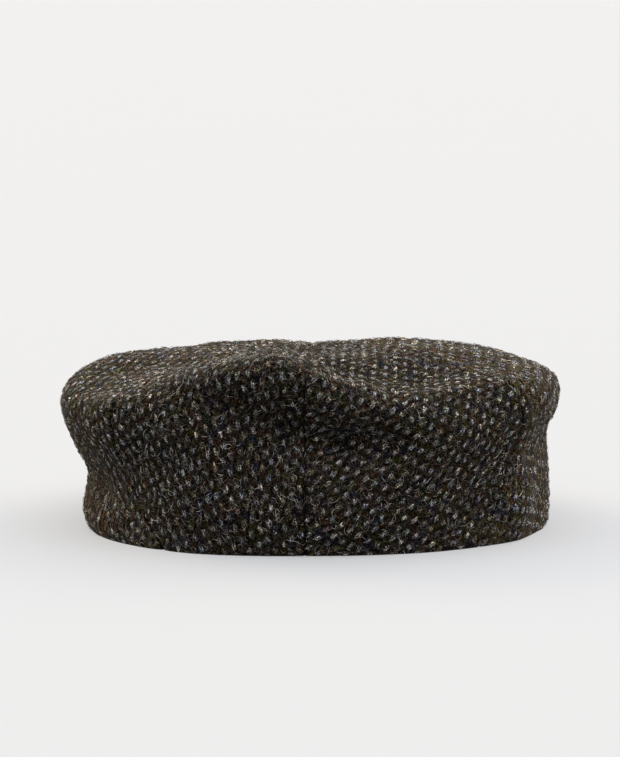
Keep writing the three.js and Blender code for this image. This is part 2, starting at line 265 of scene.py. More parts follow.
def section_point(turn, up):
    """Radius and height on the plain crown; up runs by 1 for each key height, from rim to centre."""
    points = [key_point(turn, key) for key in KEYS]
    far = key_point(turn + 180, "top") * (-1, 1)
    centre = np.zeros_like(far)
    centre[..., 1] = CROWN_HEIGHT
    curve = np.stack([2 * points[0] - points[1], *points, centre, far])
    span = np.clip(np.floor(up), 0, len(KEYS) - 1).astype(int)
    part = (up - span)[..., None]

    def near(step):
        index = np.broadcast_to((span + step)[None, ..., None], (1, *far.shape))
        return np.take_along_axis(curve, index, 0)[0]

    return through_points(near(0), near(1), near(2), near(3), part)


def plain_surface(turn, up):
    """Points of the crown before its folds, with the section table's joins smoothed over."""
    total = 0
    for turn_step, turn_share in ((-SMOOTHING_TURN, 0.25), (0, 0.5), (SMOOTHING_TURN, 0.25)):
        for up_step, up_share in ((-SMOOTHING_UP, 0.25), (0, 0.5), (SMOOTHING_UP, 0.25)):
            reach = np.minimum(1, np.minimum(up, len(KEYS) - up) / 0.5)
            section = section_point(turn + turn_step * reach, up + up_step * reach)
            total = total + section * (turn_share * up_share)
    angle = np.radians(turn)
    return np.stack([total[..., 0] * np.sin(angle), -total[..., 0] * np.cos(angle), total[..., 1]], -1)


def outward_of(points):
    """Outward directions of a grid of points, rows going up and columns going round by +X."""
    across = np.gradient(points, axis=1)
    along = np.gradient(points, axis=0)
    outward = np.cross(across, along)
    return outward / np.maximum(np.linalg.norm(outward, axis=-1, keepdims=True), 1e-12)


def crown_outward(points, heights):
    """Outward directions on the crown, straight up where the panels come to a point."""
    at_tip = np.clip((heights - TIP_FROM) / TIP_TURN, 0, 1)[..., None]
    outward = outward_of(points) * (1 - at_tip) + np.array([0, 0, 1.0]) * at_tip
    return outward / np.linalg.norm(outward, axis=-1, keepdims=True)


def fold_reach(points):
    """How far the folds push each point out; a point takes each fold from its nearest place on it."""
    total = np.zeros(points.shape[:-1])
    for line in FOLDS.values():
        knots_of_line = np.array(line) * MM
        nearest = np.full(total.shape, np.inf)
        push = np.zeros(total.shape)
        for start, end in zip(knots_of_line[:-1], knots_of_line[1:]):
            run = end[:3] - start[:3]
            share = np.clip((points - start[:3]) @ run / (run @ run), 0, 1)
            gap = np.linalg.norm(points - start[:3] - share[..., None] * run, axis=-1)
            width = start[3] + (end[3] - start[3]) * share
            reach = start[4] + (end[4] - start[4]) * share
            push = np.where(gap < nearest, reach * np.exp(-(gap / width) ** 2), push)
            nearest = np.minimum(gap, nearest)
        total += push
    return total


def slack(points, size, height, start):
    """Gentle unevenness of the cloth, of about the given size across and height."""
    flat = points.reshape(-1, 3) / size + start
    return height * np.array([noise.noise(Vector(p)) for p in flat]).reshape(points.shape[:-1])


def seam_turn(seam, up):
    """Where a seam runs: its turn round the crown, in degrees, at the given heights."""
    turns = SEAM_SHARES @ np.array(SEAMS[seam % len(SEAMS)][:3], float) + 360 * (seam // len(SEAMS))
    span = np.clip(np.floor(up), 0, len(turns) - 2).astype(int)
    near = [turns[np.clip(span + step, 0, len(turns) - 1)] for step in (-1, 0, 1, 2)]
    return through_points(*near, up - span)


def seam_pull(seam, up):
    """How deep a seam draws the cloth in, from 0 to 1, at the given heights."""
    low, high = SEAMS[seam % len(SEAMS)][3:]
    return np.interp(up, SEAM_PULL_AT, (low, high, high, SEAM_ON_TOP))


# ------------------------------------------------------------------ cloth on a panel
def swell(cloth_uv):
    """How far the cloth swells over the yarn knots, from 0 to 1, at places on the flat cloth."""
    a = 2 * np.pi * cloth_uv[..., 0] / WARP_PITCH
    b = 2 * np.pi * cloth_uv[..., 1] / WEFT_PITCH
    return (0.5 + 0.25 * np.cos(a) + 0.25 * np.cos(b)) ** 2


def lay_flat(points, outward, start):
    """Cloth coordinates: up the seam at the start column, then level with it across the panel."""
    rows, columns = points.shape[:2]
    seam_up = np.gradient(points[:, start], axis=0)
    across = np.cross(seam_up, outward[:, start])
    length = np.linalg.norm(np.diff(points[:, start], axis=0), axis=-1)
    flat = np.zeros((rows, columns, 2))
    flat[1:, start, 1] = np.cumsum(length)
    for way, last in ((1, columns), (-1, -1)):
        east = across.copy()
        for column in range(start + way, last, way):
            normal = outward[:, column]
            east = east - normal * (east * normal).sum(-1, keepdims=True)
            east /= np.linalg.norm(east, axis=-1, keepdims=True)
            north = np.cross(normal, east)
            step = points[:, column] - points[:, column - way]
            moved = np.stack([(step * east).sum(-1), (step * north).sum(-1)], -1)
            flat[:, column] = flat[:, column - way] + moved
    return flat


def sampled(grid, row, column):
    """Values of a grid at fractional rows and columns."""
    row = np.clip(row, 0, grid.shape[0] - 1.001)
    column = np.clip(column, 0, grid.shape[1] - 1.001)
    r, c = row.astype(int), column.astype(int)
    fr, fc = (row - r)[..., None], (column - c)[..., None]
    low = grid[r, c] * (1 - fc) + grid[r, c + 1] * fc
    high = grid[r + 1, c] * (1 - fc) + grid[r + 1, c + 1] * fc
    return low * (1 - fr) + high * fr


def settled(flat, points):
    """Lets cloth coordinates shift until each step is as long as it really is, coarse steps first."""
    rows, columns = flat.shape[:2]
    for stride in SETTLING_STRIDES:
        r = np.unique(np.append(np.arange(0, rows, stride), rows - 1))
        c = np.unique(np.append(np.arange(0, columns, stride), columns - 1))
        place = points[np.ix_(r, c)]
        before = flat[np.ix_(r, c)]
        now = before.copy()
        links = []
        for here, there in (
                (np.s_[:, :-1], np.s_[:, 1:]), (np.s_[:-1], np.s_[1:]),
                (np.s_[:-1, :-1], np.s_[1:, 1:]), (np.s_[1:, :-1], np.s_[:-1, 1:])):
            links.append((here, there, np.linalg.norm(place[there] - place[here], axis=-1)))
        for _ in range(SETTLING_ROUNDS):
            shift = np.zeros_like(now)
            for here, there, real in links:
                step = now[there] - now[here]
                drawn = np.maximum(np.linalg.norm(step, axis=-1), 1e-9)
                pull = step * (SETTLING_SHARE * (1 - real / drawn))[..., None]
                shift[here] += pull
                shift[there] -= pull
            now += shift
        row = np.interp(np.arange(rows), r, np.arange(r.size))
        column = np.interp(np.arange(columns), c, np.arange(c.size))
        flat = flat + sampled(now - before, *np.meshgrid(row, column, indexing="ij"))
    return flat


def arc_lengths(points, axis):
    """How far along the cloth each point of a grid lies from the grid's first row or column."""
    steps = np.linalg.norm(np.diff(points, axis=axis), axis=-1)
    return np.concatenate([np.zeros_like(steps.take([0], axis)), np.cumsum(steps, axis)], axis)


def turned(uv, degrees):
    """Cloth coordinates on threads that are turned by the given angle."""
    c, s = math.cos(math.radians(degrees)), math.sin(math.radians(degrees))
    return np.stack([uv[..., 0] * c + uv[..., 1] * s, uv[..., 1] * c - uv[..., 0] * s], -1)


def spaced(steps, crowding):
    """Places from 0 to 1 that crowd towards both ends."""
    even = np.linspace(0, 1, steps + 1)
    return even - crowding * np.sin(2 * np.pi * even) / (2 * np.pi)


def panel_grid(seam, across, up_steps, grain):
    """A panel's outside, one row for each height: its points, outward directions, cloth coordinates, and
    distances from the nearest seam and from the hem, with its widths and its length."""
    top_radius = SECTIONS["top"][0][0] * MM
    up = np.linspace(0, 1, up_steps + 1) * (len(KEYS) - TIP_RADIUS / top_radius)
    side = spaced(across, PANEL_CROWDING)
    margin = side[1]
    side = np.concatenate([[-margin], side, [1 + margin]])
    left, right = seam_turn(seam, up), seam_turn(seam + 1, up)
    turn = left[:, None] + (right - left)[:, None] * side[None, :]
    heights = np.broadcast_to(up[:, None], turn.shape)
    points = plain_surface(turn, heights)
    start = 1 if seam < len(PANELS) // 2 else side.size - 2
    flat = lay_flat(points, outward_of(points), start)
    level_hem = np.minimum(1, heights)[..., None] ** np.array([0, 0, 1])
    points = points + crown_outward(points, heights) * fold_reach(points)[..., None] * level_hem
    calm = np.minimum(1, heights * 1.5)
    loose = sum(slack(points, *values) for values in SLACK)
    points = points + crown_outward(points, heights) * (loose * calm)[..., None]
    outward = crown_outward(points, heights)
    cloth_uv = turned(settled(flat, points), grain)
    drift = [slack(points, *WEAVE_DRIFT, start) for start in WEAVE_DRIFT_STARTS]
    cloth_uv = cloth_uv + np.stack(drift, -1)

    width = arc_lengths(points, 1)
    length = arc_lengths(points, 0)
    from_left, from_right = width - width[:, 1:2], width[:, -2:-1] - width
    from_seam = np.maximum(np.minimum(from_left, from_right), 0)
    pull = np.where(from_left < from_right, seam_pull(seam, heights), seam_pull(seam + 1, heights))
    sewn_in = -SEAM_DEPTH * pull * np.exp(-(from_seam / SEAM_HALF_WIDTH) ** 2)
    pressed = PRESSED * np.exp(-((from_seam - PRESSED_AT) / PRESSED_WIDTH) ** 2)
    turned_in = -HEM_TUCK * np.exp(-(length / HEM_ROUND) ** 2)
    relief = SWELL * (swell(cloth_uv) - 0.25) * np.clip(from_seam / PRESSED_WIDTH, 0.15, 1)
    points = points + outward * (sewn_in + pressed + relief)[..., None] * level_hem
    points = points + outward * turned_in[..., None] * (1, 1, 0)
    keep = np.s_[:, 1:-1]
    # The edges map gives each point's distance from a seam, which sets the painted seam shade, and from
    # the hem.
    edges = np.stack([from_seam + (1 - pull) * SEAM_SOFT, length], -1)
    size = (width[:, -2] - width[:, 1], length[-1, 0])
    return points[keep], outward[keep], cloth_uv[keep], edges[keep], size


def grid_mesh(points, maps):
    """A mesh grid with the given points, and each of the named maps as a UV map, in metres."""
    rows, columns = points.shape[:2]
    grid = bmesh.new()
    bmesh.ops.create_grid(grid, x_segments=columns - 1, y_segments=rows - 1, size=0.5)
    grid.verts.ensure_lookup_table()
    spots = np.array([vert.co[:2] for vert in grid.verts]) + 0.5
    column = np.rint(spots[:, 0] * (columns - 1)).astype(int)
    row = np.rint(spots[:, 1] * (rows - 1)).astype(int)
    placed = points[row, column] + np.array(CROWN_AXIS)
    for vert, place in zip(grid.verts, placed):
        vert.co = place
    layers = [(grid.loops.layers.uv.new(name), values[row, column]) for name, values in maps.items()]
    for face in grid.faces:
        face.smooth = True
        for loop in face.loops:
            for layer, values in layers:
                loop[layer].uv = values[loop.vert.index]
    return grid


def object_from(grid, name, material):
    """An object made from a bmesh, which is used up."""
    mesh = bpy.data.meshes.new(name)
    grid.to_mesh(mesh)
    grid.free()
    mesh.materials.append(material)
    piece = bpy.data.objects.new(name, mesh)
    bpy.context.scene.collection.objects.link(piece)
    return piece


def apply_modifiers(piece):
    """Makes what a piece's modifiers show its own mesh."""
    shown = piece.evaluated_get(bpy.context.evaluated_depsgraph_get())
    finished = bpy.data.meshes.new_from_object(shown)
    piece.modifiers.clear()
    piece.data = finished


def make_panel(seam, node):
    """One crown panel, a wall of cloth from the seam given to the next."""
    across, up_steps, grain, _, light, _ = PANELS[node]
    points, outward, cloth_uv, edges, (widths, length) = panel_grid(seam, across, up_steps, grain)
    name = node.replace("panel", "tweed")
    grid = grid_mesh(points, {"cloth": cloth_uv, "edges": edges})
    bmesh.ops.remove_doubles(grid, verts=grid.verts, dist=WELD)
    # light is the panel's painted light: its cloth is painted brighter or darker for how well lit that
    # side is.
    panel = object_from(grid, name, tweed_material(name, light))
    wall = panel.modifiers.new("wall", "SOLIDIFY")
    wall.thickness = CLOTH
    wall.offset = -1
    apply_modifiers(panel)
    for vertex in panel.data.vertices:
        vertex.co.z = max(0, vertex.co.z)
    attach(panel, "root")
    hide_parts(node)
    return points, outward, cloth_uv, edges[..., 0]


# ------------------------------------------------------------------ small repeated shapes
def template(shape):
    """Vertices and triangles of a small closed shape, which is used up."""
    bmesh.ops.triangulate(shape, faces=shape.faces)
    shape.verts.index_update()
    places = np.array([vert.co for vert in shape.verts])
    triangles = np.array([[vert.index for vert in face.verts] for face in shape.faces])
    shape.free()
    return places, triangles


def joined(name, vertices, triangles, maps, material):
    """One piece from many copies of a small shape; vertices and maps have a row for each copy."""
    copies, each = vertices.shape[:2]
    placed = vertices + np.array(CROWN_AXIS)
    placed[..., 2] = np.maximum(placed[..., 2], FLOOR_CLEAR)
    corners = (triangles[None] + (np.arange(copies) * each)[:, None, None]).ravel()
    mesh = bpy.data.meshes.new(name)
    mesh.vertices.add(copies * each)
    mesh.vertices.foreach_set("co", placed.ravel())
    mesh.loops.add(corners.size)
    mesh.loops.foreach_set("vertex_index", corners)
    mesh.polygons.add(corners.size // 3)
    mesh.polygons.foreach_set("loop_start", np.arange(0, corners.size, 3))
    mesh.update(calc_edges=True)
    for map_name, values in maps.items():
        mesh.uv_layers.new(name=map_name)
        spread = np.broadcast_to(values, (copies, each, 2)).reshape(-1, 2)
        mesh.uv_layers[map_name].data.foreach_set("uv", spread[corners].ravel())
    mesh.shade_smooth()
    mesh.materials.append(material)
    piece = bpy.data.objects.new(name, mesh)
    bpy.context.scene.collection.objects.link(piece)
    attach(piece, "root")
    return piece


# ------------------------------------------------------------------ yarn knots
def strand_shape():
    """A grain of yarn, one unit in radius, with its ends at plus and minus 1 on Y."""
    grain = bmesh.new()
    bmesh.ops.create_uvsphere(grain, u_segments=5, v_segments=3, radius=1)
    bmesh.ops.rotate(grain, verts=grain.verts, matrix=Matrix.Rotation(math.pi / 2, 3, "X"))
    return template(grain)


def cloth_directions(points, cloth_uv):
    """Steps in space for each metre along the cloth's two threads, at every place on a grid."""
    step_row, step_column = np.gradient(points, axis=0), np.gradient(points, axis=1)
    uv_row, uv_column = np.gradient(cloth_uv, axis=0), np.gradient(cloth_uv, axis=1)
    turn = uv_column[..., 0] * uv_row[..., 1] - uv_row[..., 0] * uv_column[..., 1]
    turn = np.where(np.abs(turn) < 1e-12, 1e-12, turn)[..., None]
    east = (step_column * uv_row[..., 1:] - step_row * uv_column[..., 1:]) / turn
    north = (step_row * uv_column[..., :1] - step_column * uv_row[..., :1]) / turn
    return east, north


def knot_places(cloth_uv, from_seam, rng):
    """Where the weave's pale knots come on a panel: cloth coordinates, fractional rows and columns."""
    pitch = np.array([WARP_PITCH, WEFT_PITCH])
    low = np.ceil(cloth_uv.min((0, 1)) / pitch)
    high = np.floor(cloth_uv.max((0, 1)) / pitch)
    across, along = np.meshgrid(np.arange(low[0], high[0] + 1), np.arange(low[1], high[1] + 1))
    wanted = np.stack([across.ravel(), along.ravel()], -1) * pitch
    wanted = wanted + rng.normal(0, 1, wanted.shape) * KNOT_STRAY
    flat = cloth_uv.reshape(-1, 2)
    nearest = np.array([np.argmin(((flat - place) ** 2).sum(-1)) for place in wanted])
    r, c = np.divmod(nearest, cloth_uv.shape[1])
    inside = (r > 0) & (r < cloth_uv.shape[0] - 1) & (c > 0) & (c < cloth_uv.shape[1] - 1)
    wanted, r, c = wanted[inside], r[inside], c[inside]
    by_row = (cloth_uv[r + 1, c] - cloth_uv[r - 1, c]) / 2
    by_column = (cloth_uv[r, c + 1] - cloth_uv[r, c - 1]) / 2
    gap = wanted - cloth_uv[r, c]
    turn = by_column[:, 0] * by_row[:, 1] - by_row[:, 0] * by_column[:, 1]
    more_columns = (gap[:, 0] * by_row[:, 1] - by_row[:, 0] * gap[:, 1]) / turn
    more_rows = (by_column[:, 0] * gap[:, 1] - gap[:, 0] * by_column[:, 1]) / turn
    near = (np.abs(more_rows) < 1) & (np.abs(more_columns) < 1) & (from_seam[r, c] > SEAM_CLEAR)
    return wanted[near], (r + more_rows)[near], (c + more_columns)[near]


def make_knots(name, points, outward, cloth_uv, from_seam, tone, material, rng):
    """The raised pale knots of yarn, one at every crossing and two strands in each, as one piece."""
    wanted, row, column = knot_places(cloth_uv, from_seam, rng)
    knots = len(wanted)
    strands = 2 * knots
    wanted, row, column = np.repeat(wanted, 2, 0), np.repeat(row, 2), np.repeat(column, 2)
    kind = np.repeat(rng.random(knots), 2)
    brightness = np.repeat(rng.uniform(*KNOT_BRIGHTNESS, knots), 2)
    # tone is the panel's painted light: its knots are painted brighter or darker for how well lit that
    # side is.
    brightness = brightness * rng.uniform(*STRAND_BRIGHTNESS, strands) * tone
    lean = np.repeat(rng.normal(KNOT_LEAN, KNOT_LEAN_SPREAD, knots), 2)
    lean = np.radians(lean + rng.normal(0, STRAND_LEAN_SPREAD, strands))[:, None]
    aside_by = np.tile([-1, 1], knots) * STRAND_OFFSET * rng.uniform(*STRAND_ASIDE, strands)
    ahead_by = rng.normal(0, STRAND_AHEAD_SPREAD, strands)
    offset = np.stack([aside_by, ahead_by], -1)[:, None]

    east, north = cloth_directions(points, cloth_uv)
    ahead = sampled(east, row, column) * np.sin(lean) + sampled(north, row, column) * np.cos(lean)
    normal = sampled(outward, row, column)
    aside = np.cross(ahead, normal)
    ahead = np.cross(normal, aside)
    aside /= np.maximum(np.linalg.norm(aside, axis=-1, keepdims=True), 1e-9)
    ahead /= np.maximum(np.linalg.norm(ahead, axis=-1, keepdims=True), 1e-9)
    size = STRAND_SIZE * rng.uniform(*STRAND_SIZES, (strands, 3))
    grain, triangles = strand_shape()
    uneven = 1 + rng.normal(0, STRAND_ROUGHNESS, (strands, len(grain), 1))
    shape = grain[None] * uneven * size[:, None]
    shape[..., :2] += offset
    place = sampled(points, row, column) - normal * STRAND_SUNK
    vertices = place[:, None] + aside[:, None] * shape[..., :1] + ahead[:, None] * shape[..., 1:2]
    vertices = vertices + normal[:, None] * shape[..., 2:]
    lengthwise = np.concatenate([np.sin(lean), np.cos(lean)], -1)[:, None]
    crosswise = np.concatenate([np.cos(lean), -np.sin(lean)], -1)[:, None]
    on_cloth = wanted[:, None] + crosswise * shape[..., :1] + lengthwise * shape[..., 1:2]
    look = np.stack([kind, brightness], -1)[:, None]
    return joined(name, vertices, triangles, {"cloth": on_cloth, "tone": look}, material)


# ------------------------------------------------------------------ loose wool fibres
def fibre_shape():
    """A thin closed tube along Z, of length 1 and radius 1."""
    tube = bmesh.new()
    bmesh.ops.create_cone(tube, cap_ends=True, segments=3, radius1=1, radius2=1, depth=1)
    long_edges = [edge for edge in tube.edges if abs(edge.verts[0].co.z - edge.verts[1].co.z) > 0.5]
    bmesh.ops.subdivide_edges(tube, edges=long_edges, cuts=FIBRE_PARTS - 1)
    return template(tube)


def make_fibres(name, points, outward, count, material, rng):
    """Short curled wool fibres lying on a piece, joined as one mesh of thin closed tubes."""
    east = np.linalg.norm(points[:-1, 1:] - points[:-1, :-1], axis=-1)
    north = np.linalg.norm(points[1:, :-1] - points[:-1, :-1], axis=-1)
    share = np.cumsum((east * north).ravel())
    picked = np.searchsorted(share, rng.random(count) * share[-1])
    r, c = picked // east.shape[1], picked % east.shape[1]
    column_step, row_step = east[r, c], north[r, c]
    row, column = r + rng.random(count), c + rng.random(count)

    is_long = rng.random(count) < LONG_SHARE
    length = np.where(is_long, rng.uniform(*LONG_FIBRES, count), rng.uniform(*SHORT_FIBRES, count)) * MM
    heading = rng.uniform(0, 2 * np.pi, count)
    curl = rng.normal(0, FIBRE_CURL, count) * np.where(is_long, LONG_CURL, 1)
    lift = rng.uniform(*FIBRE_LIFT, count) * MM
    stand = rng.uniform(0, 1, count) ** 3 * FIBRE_STAND * MM
    radius = rng.uniform(*FIBRE_RADIUS, count) * MM

    path, up = [], []
    x, y = np.zeros(count), np.zeros(count)
    for step in range(FIBRE_PARTS + 1):
        along = step / FIBRE_PARTS
        at_row, at_column = row + y / row_step, column + x / column_step
        normal = sampled(outward, at_row, at_column)
        height = FIBRE_BASE * MM + lift * math.sin(math.pi * along) + stand * along
        path.append(sampled(points, at_row, at_column) + normal * height[:, None])
        up.append(normal)
        angle = heading + curl * along
        x = x + np.cos(angle) * length / FIBRE_PARTS
        y = y + np.sin(angle) * length / FIBRE_PARTS
    path, up = np.stack(path, 1), np.stack(up, 1)
    along = np.gradient(path, axis=1)
    over = np.cross(along, up)
    over /= np.maximum(np.linalg.norm(over, axis=-1, keepdims=True), 1e-9)
    third = np.cross(over, along)
    third /= np.maximum(np.linalg.norm(third, axis=-1, keepdims=True), 1e-9)

    tube, triangles = fibre_shape()
    station = np.rint((tube[:, 2] + 0.5) * FIBRE_PARTS).astype(int)
    thin = np.where((station == 0) | (station == FIBRE_PARTS), FIBRE_END, 1)[None, :, None]
    ring = over[:, station] * tube[None, :, :1] + third[:, station] * tube[None, :, 1:2]
    vertices = path[:, station] + ring * radius[:, None, None] * thin
    tone = np.stack([rng.random(count), rng.random(count)], -1)
    return joined(name, vertices, triangles, {"tone": tone[:, None]}, material)


# ------------------------------------------------------------------ peak
def peak_middle(side, out):
    """The middle of the peak's thickness: side from -1 to 1 across it, out from 0 at the root to 1."""
    turn = 180 - side * PEAK["half_turn"]
    angle = np.radians(turn)
    root = np.stack([
        PEAK["root_radius"] * np.sin(angle),
        -PEAK["root_radius"] * np.cos(angle),
        key_point(turn, "rim")[..., 1] - PEAK["root_gap"] - PEAK["thickness"] / 2], -1)
    oval = np.radians(side * PEAK["oval_half_turn"])
    edge = np.stack([
        PEAK["oval_half_width"] * np.sin(oval),
        PEAK["oval_centre_y"] + PEAK["oval_half_length"] * np.cos(oval),
        PEAK["thickness"] / 2 + PEAK["front_rise"] * np.cos(oval) ** 2], -1)
    points = root + (edge - root) * out[..., None]
    points[..., 2] += PEAK["bow"] * (np.sin(np.pi * out) * np.cos(oval)) ** 2
    return points


def make_peak(material):
    """The peak, stiff and covered in the tweed; gives its top and its underside for the yarn to lie on."""
    across, out_steps = PEAK["steps"]
    side = np.linspace(1, -1, across + 1)[None, :]
    out = spaced(out_steps, PEAK["crowding"])[:, None]
    side, out = np.broadcast_arrays(side, out)
    middle = peak_middle(side, out)
    width = arc_lengths(middle, 1)
    length = arc_lengths(middle, 0)
    cloth_uv = turned(middle[..., :2], PEAK["grain"])
    from_ends = np.minimum(2 * length, length[-1:] - length)
    from_edge = np.minimum(from_ends, np.minimum(width, width[:, -1:] - width))
    inside = 1 - np.clip(from_edge / PEAK["edge_radius"], 0, 1)
    half = PEAK["thickness"] / 2 * np.sqrt(1 - inside ** 2)
    fading = np.clip(from_edge / PEAK["smooth_edge"], 0, 1)
    relief = SWELL * PEAK["swell"] * (swell(cloth_uv) - 0.5) * fading
    up = np.array([0, 0, 1.0])
    top = middle + (half + relief)[..., None] * up
    under = middle - (half - relief)[..., None] * up
    # The peak's distances start past the painted seam shade, so that it doesn't darken the peak's edge.
    edges = np.stack([from_edge + PEAK["smooth_edge"]] * 2, -1)
    grid = grid_mesh(top[:, ::-1], {"cloth": cloth_uv[:, ::-1], "edges": edges[:, ::-1]})
    under_grid = grid_mesh(under, {"cloth": cloth_uv, "edges": edges})
    spare = bpy.data.meshes.new("under")
    under_grid.to_mesh(spare)
    under_grid.free()
    grid.from_mesh(spare)
    bpy.data.meshes.remove(spare)
    bmesh.ops.remove_doubles(grid, verts=grid.verts, dist=WELD)
    bmesh.ops.recalc_face_normals(grid, faces=grid.faces)
    peak = object_from(grid, "tweed_peak", material)
    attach(peak, "root")
    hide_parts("peak")
    faces = []
    for face, way in ((top[:, ::-1], 1), (under[:, ::-1], -1)):
        faces.append((face, outward_of(face) * way, cloth_uv[:, ::-1], from_edge[:, ::-1]))
    return faces


# ------------------------------------------------------------------ materials
class Nodes:
    """Short ways to add and join the nodes of one material."""

    def __init__(self, name):
        self.material = bpy.data.materials.new(name)
        self.material.use_nodes = True
        self.tree = self.material.node_tree
        self.shader = self.tree.nodes["Principled BSDF"]

    def add(self, kind, inputs=None, **settings):
        node = self.tree.nodes.new(kind)
        for key, value in settings.items():
            setattr(node, key, value)
        for key, value in (inputs or {}).items():
            self.put(node.inputs[key], value)
        return node

    def put(self, socket, value):
        if isinstance(value, bpy.types.NodeSocket):
            self.tree.links.new(value, socket)
        else:
            socket.default_value = value

    def math(self, operation, a, b=0.0):
        node = self.add("ShaderNodeMath", {0: a, 1: b}, operation=operation)
        return node.outputs[0]

    def vector(self, operation, a, b=(0, 0, 0)):
        node = self.add("ShaderNodeVectorMath", {0: a, 1: b}, operation=operation)
        return node.outputs[0]

    def scale(self, vector, amount):
        node = self.add("ShaderNodeVectorMath", {0: vector, "Scale": amount}, operation="SCALE")
        return node.outputs[0]

    def noise(self, vector, size, detail=2.0, roughness=0.5, output="Fac"):
        """A noise of about the given size, from 0 to 1, or of random colours with output "Color"."""
        node = self.add("ShaderNodeTexNoise", {
            "Vector": vector, "Scale": 1 / size, "Detail": detail, "Roughness": roughness})
        return node.outputs[output]

    def ramp(self, factor, stops, interpolation="LINEAR"):
        """The colour that a factor from 0 to 1 has on a row of stops."""
        node = self.add("ShaderNodeValToRGB", {"Fac": factor})
        node.color_ramp.interpolation = interpolation
        elements = node.color_ramp.elements
        while len(elements) < len(stops):
            elements.new(0.5)
        for element, (position, colour) in zip(elements, stops):
            element.position = position
            element.color = (*colour, 1)
        return node.outputs["Color"]

    def mix(self, factor, a, b):
        """Colour a where the factor is 0, and b where it is 1."""
        node = self.add("ShaderNodeMix", data_type="RGBA")
        self.put(node.inputs[0], factor)
        self.put(node.inputs[6], a)
        self.put(node.inputs[7], b)
        return node.outputs[2]

    def range(self, value, low, high, to_low=0.0, to_high=1.0, smooth=True):
        """Moves a value from one range to another, held at both ends."""
        node = self.add("ShaderNodeMapRange", {
            "Value": value, "From Min": low, "From Max": high, "To Min": to_low, "To Max": to_high})
        node.interpolation_type = "SMOOTHSTEP" if smooth else "LINEAR"
        return node.outputs[0]


# Yarn colours: where each begins on a scale from 0 to 1, and the colour.
KNOT_YARNS = [
    (0.00, (0.452, 0.423, 0.380)), (0.22, (0.368, 0.366, 0.360)), (0.42, (0.276, 0.298, 0.334)),
    (0.78, (0.238, 0.214, 0.162)), (0.89, (0.188, 0.151, 0.122)), (0.95, (0.275, 0.222, 0.165)),
    (0.985, (0.197, 0.132, 0.107))]
DULL_YARNS = [
    (0.00, (0.0172, 0.0095, 0.0044)), (0.30, (0.0093, 0.0063, 0.0106)), (0.50, (0.0201, 0.0179, 0.0040)),
    (0.68, (0.0318, 0.0145, 0.0083)), (0.84, (0.0109, 0.0124, 0.0065)), (0.92, (0.0098, 0.0126, 0.0226))]
HAIRS = [
    (0.00, (0.403, 0.371, 0.327)), (0.45, (0.283, 0.288, 0.306)), (0.65, (0.270, 0.241, 0.163)),
    (0.85, (0.194, 0.152, 0.118))]
LOOSE_WOOL = [
    (0.00, (0.511, 0.490, 0.454)), (0.34, (0.357, 0.348, 0.329)), (0.58, (0.262, 0.271, 0.292)),
    (0.74, (0.250, 0.228, 0.179)), (0.86, (0.150, 0.128, 0.108)), (0.94, (0.288, 0.244, 0.184))]
GROUND = (0.0022, 0.0016, 0.0012)
HAZE = (0.0650, 0.0515, 0.0355)
TINT = (0.55, 0.4, 1.2)         # how far the wool's hue drifts from place to place, in red, green and blue
FLOOR = (0.278, 0.297, 0.334)   # a little blue, so that the warm lights leave it grey
FLOOR_GLOW = 0.38

# Sizes of the wool's unevenness.
FRAY_SIZE = 1.3 * MM            # of the wander of a blob's outline
FRAY_REACH = 1.5 * MM           # and how far it wanders
SPECK_SIZE = 0.75 * MM
GRIT_SIZE = 0.62 * MM
STRAND_GRAIN = (0.42 * MM, 1.5 * MM)    # across the fibres and along them
HUE_SIZE = 4.2 * MM
TUFT_SIZE = 0.9 * MM
DULL_SIZE = (1.3 * MM, 1.7 * MM)        # half-width and half-length of a dull blob of yarn
HAIR_SIZES = [(2.1 * MM, (0.31, 0.17, 0)), (1.4 * MM, (0.73, 0.51, 0))]     # of their bends, and a start
HAIR_LENGTH = 2.3 * MM
HAIR_COLOUR_SIZE = 2.8 * MM
MIDDLE = (0.5, 0.5, 0.5)        # the middle of a noise's colours


class Wool:
    """The unevenness that all the yarn shares, from noises laid out on the cloth."""

    def __init__(self, n):
        self.flat = n.add("ShaderNodeUVMap", uv_map="cloth").outputs["UV"]
        fray = n.vector("SUBTRACT", n.noise(self.flat, FRAY_SIZE, 2, output="Color"), MIDDLE)
        self.frayed = n.vector("ADD", self.flat, n.scale(fray, FRAY_REACH))
        self.specks = n.noise(self.flat, SPECK_SIZE, 2, 0.6)
        self.grit = n.range(n.noise(self.flat, GRIT_SIZE, 1), 0.37, 0.63, 0.05, 2.15)
        per_grain = (1 / STRAND_GRAIN[0], 1 / STRAND_GRAIN[1], 0)
        drawn_out = n.vector("MULTIPLY", along_fibres(n, self.frayed), per_grain)
        self.strands = n.noise(drawn_out, 1, 2, 0.6)
        hue = n.vector("SUBTRACT", n.noise(self.flat, HUE_SIZE, 2, 0.55, "Color"), MIDDLE)
        self.tint = n.vector("ADD", n.vector("MULTIPLY", hue, TINT), (1, 1, 1))


def along_fibres(n, vector):
    """Turns a vector on the cloth so that Y runs along the fibres of the yarn knots."""
    turned_vector = n.add("ShaderNodeVectorRotate", {
        "Vector": vector, "Angle": math.radians(KNOT_LEAN)}, rotation_type="Z_AXIS")
    return turned_vector.outputs[0]


